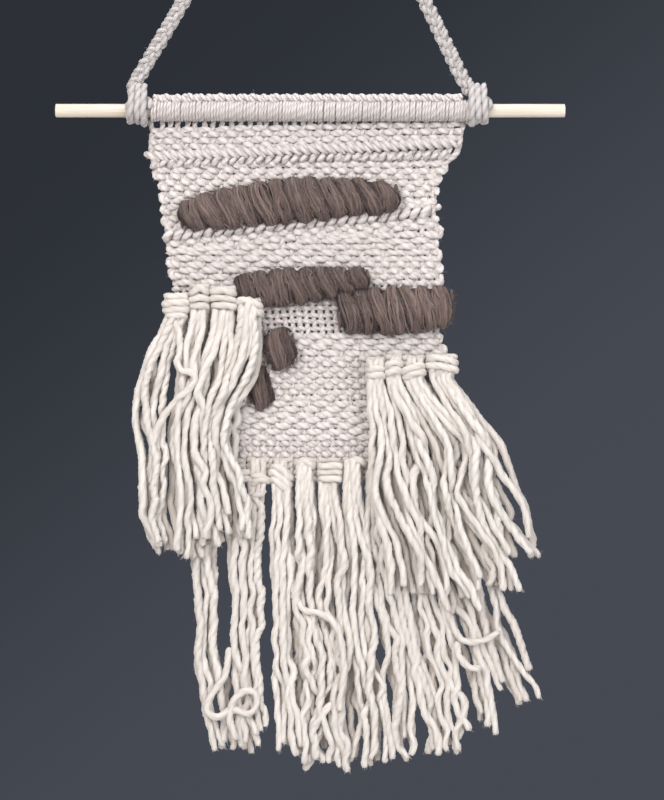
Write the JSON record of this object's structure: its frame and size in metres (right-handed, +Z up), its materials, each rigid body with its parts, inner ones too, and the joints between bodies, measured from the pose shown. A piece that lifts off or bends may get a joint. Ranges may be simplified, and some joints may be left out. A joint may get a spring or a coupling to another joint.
{
  "type": "tapestry wall hanging",
  "caption": "Handwoven tapestry on a wooden dowel, hung from a plaited cord, with thick roving bands and a long layered fringe of loose strands.",
  "frame": {"origin": "where the plaited cord rests on its nail or hook, under the top of its bend", "axes": "+Z up, the woven face looks along -Y, the wall is on the +Y side, +X is the viewer's right"},
  "size_m": [0.3064, 0.0204, 0.588],
  "materials": {
    "dowel_wood": "bare sanded hardwood",
    "header_yarn": "matte plied wool, greyish cream",
    "weft_yarn": "matte plied wool, cream",
    "fringe_yarn": "soft low-twist wool, warm off-white",
    "roving": "fuzzy unspun wool, taupe brown"
  },
  "bodies": {
    "hanger": {"hanging_cord": "header_yarn", "cord_loop_left": "header_yarn", "cord_loop_right": "header_yarn"},
    "dowel": {"dowel": "dowel_wood"},
    "panel": {"header_binding": "header_yarn", "header_chain": "header_yarn", "warp_ends": "header_yarn", "soumak_header": "weft_yarn", "tabby_upper": "weft_yarn", "soumak_ridge": "weft_yarn", "floats_upper": "weft_yarn", "tabby_open": "weft_yarn", "floats_middle": "weft_yarn", "tabby_lower": "weft_yarn", "floats_lower": "weft_yarn", "hem": "weft_yarn", "roving_upper": "roving", "roving_middle": "roving", "roving_right": "roving", "roving_knot": "roving", "roving_tail": "roving", "knot_left_1": "fringe_yarn", "knot_left_2": "fringe_yarn", "knot_left_3": "fringe_yarn", "knot_left_4": "fringe_yarn", "knot_right_1": "fringe_yarn", "knot_right_2": "fringe_yarn", "knot_right_3": "fringe_yarn", "knot_right_4": "fringe_yarn", "knot_bottom_left_1": "fringe_yarn", "knot_bottom_left_2": "fringe_yarn", "knot_bottom_left_3": "fringe_yarn", "knot_bottom_middle_1": "fringe_yarn", "knot_bottom_middle_2": "fringe_yarn", "knot_bottom_middle_3": "fringe_yarn", "knot_bottom_middle_4": "fringe_yarn", "knot_bottom_right_1": "fringe_yarn", "knot_bottom_right_2": "fringe_yarn", "knot_bottom_right_3": "fringe_yarn", "knot_bottom_right_4": "fringe_yarn"},
    "left_fringe": {"tassel_left_1": "fringe_yarn", "tassel_left_2": "fringe_yarn", "tassel_left_3": "fringe_yarn", "tassel_left_4": "fringe_yarn"},
    "right_fringe": {"tassel_right_1": "fringe_yarn", "tassel_right_2": "fringe_yarn", "tassel_right_3": "fringe_yarn", "tassel_right_4": "fringe_yarn"},
    "bottom_left": {"tassel_bottom_left_1": "fringe_yarn", "tassel_bottom_left_2": "fringe_yarn", "tassel_bottom_left_3": "fringe_yarn"},
    "bottom_middle": {"tassel_bottom_middle_1": "fringe_yarn", "tassel_bottom_middle_2": "fringe_yarn", "tassel_bottom_middle_3": "fringe_yarn", "tassel_bottom_middle_4": "fringe_yarn"},
    "bottom_right": {"tassel_bottom_right_1": "fringe_yarn", "tassel_bottom_right_2": "fringe_yarn", "tassel_bottom_right_3": "fringe_yarn", "tassel_bottom_right_4": "fringe_yarn"}
  },
  "joints": [
    {"name": "dowel_turn", "type": "hinge", "parent": "hanger", "child": "dowel", "pos_m": [-0.003, 0, -0.175], "axis": [1, 0, 0], "continuous": true},
    {"name": "panel_swing", "type": "hinge", "parent": "hanger", "child": "panel", "pos_m": [-0.003, 0, -0.175], "axis": [-1, 0, 0], "range_deg": [0, 90]},
    {"name": "left_fringe_lift", "type": "hinge", "parent": "panel", "child": "left_fringe", "pos_m": [-0.06, -0.0061, -0.3043], "axis": [-1, 0, 0], "range_deg": [0, 75]},
    {"name": "right_fringe_lift", "type": "hinge", "parent": "panel", "child": "right_fringe", "pos_m": [0.06, -0.0061, -0.342], "axis": [-1, 0, 0], "range_deg": [0, 75]},
    {"name": "bottom_left_lift", "type": "hinge", "parent": "panel", "child": "bottom_left", "pos_m": [-0.048, 0.0035, -0.407], "axis": [1, 0, 0], "range_deg": [0, 80]},
    {"name": "bottom_middle_lift", "type": "hinge", "parent": "panel", "child": "bottom_middle", "pos_m": [0.01, 0.0035, -0.407], "axis": [1, 0, 0], "range_deg": [-75, 80]},
    {"name": "bottom_right_lift", "type": "hinge", "parent": "panel", "child": "bottom_right", "pos_m": [0.062, 0.0035, -0.407], "axis": [1, 0, 0], "range_deg": [0, 80]}
  ]
}
